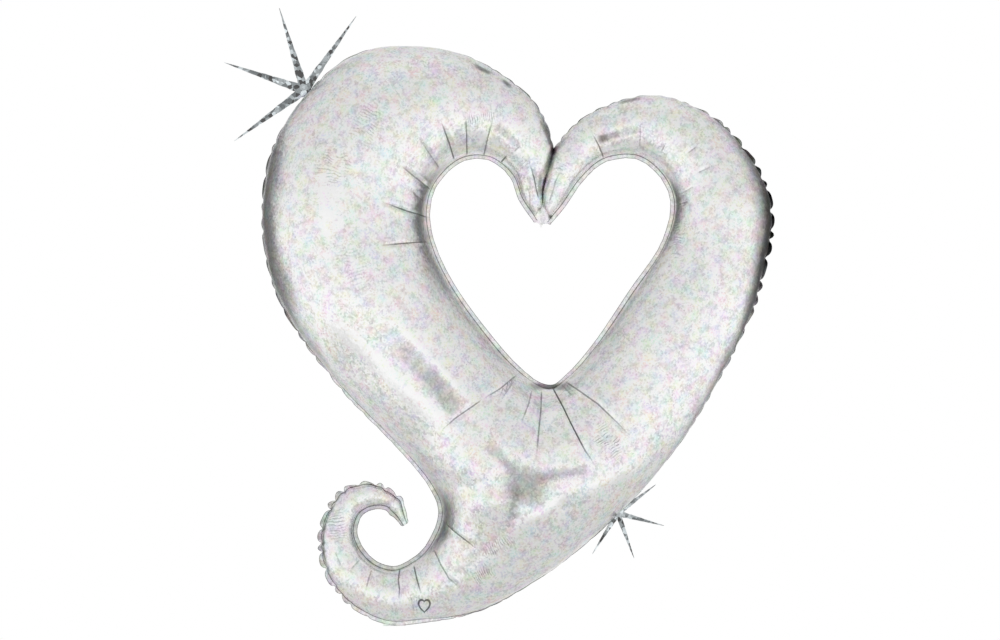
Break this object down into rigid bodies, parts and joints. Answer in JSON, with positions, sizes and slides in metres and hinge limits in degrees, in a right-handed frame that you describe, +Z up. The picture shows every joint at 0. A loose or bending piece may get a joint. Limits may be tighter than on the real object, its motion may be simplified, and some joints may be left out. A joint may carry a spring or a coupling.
{
  "type": "heart-shaped foil balloon",
  "caption": "Inflated foil balloon shaped as an open heart whose two tapering lobes meet at a weld and whose tail curls into a hook.",
  "frame": {"origin": "the weld at the foot of the cleft, where the two lobes meet, on the seam plane between the front and back films", "axes": "+Z up along the heart, +X to the right of someone facing the front, and the front faces -Y"},
  "size_m": [0.7819, 0.2154, 0.8773],
  "materials": {
    "holographic_film": "metallised holographic film, semi-gloss",
    "seal_film": "metallised film, heat-sealed flat",
    "valve_film": "clear film",
    "glitter_film": "silver glitter film",
    "glue": "clear glue dot"
  },
  "bodies": {
    "balloon": {"front_panel": "holographic_film", "back_panel": "holographic_film", "cleft_weld": "seal_film", "valve_front_ply": "valve_film", "valve_back_ply": "valve_film", "neck_crease": "seal_film", "upper_starburst": "glitter_film", "lower_starburst": "glitter_film", "upper_starburst_glue": "glue", "lower_starburst_glue": "glue"},
    "neck": {"neck_front_ply": "seal_film", "neck_back_ply": "seal_film", "valve_mouth_front_ply": "valve_film", "valve_mouth_back_ply": "valve_film"}
  },
  "joints": [
    {"name": "neck_fold", "type": "hinge", "parent": "balloon", "child": "neck", "pos_m": [-0.20836, 0, -0.5845], "axis": [-1, 0, 0], "range_deg": [-25, 205]}
  ]
}
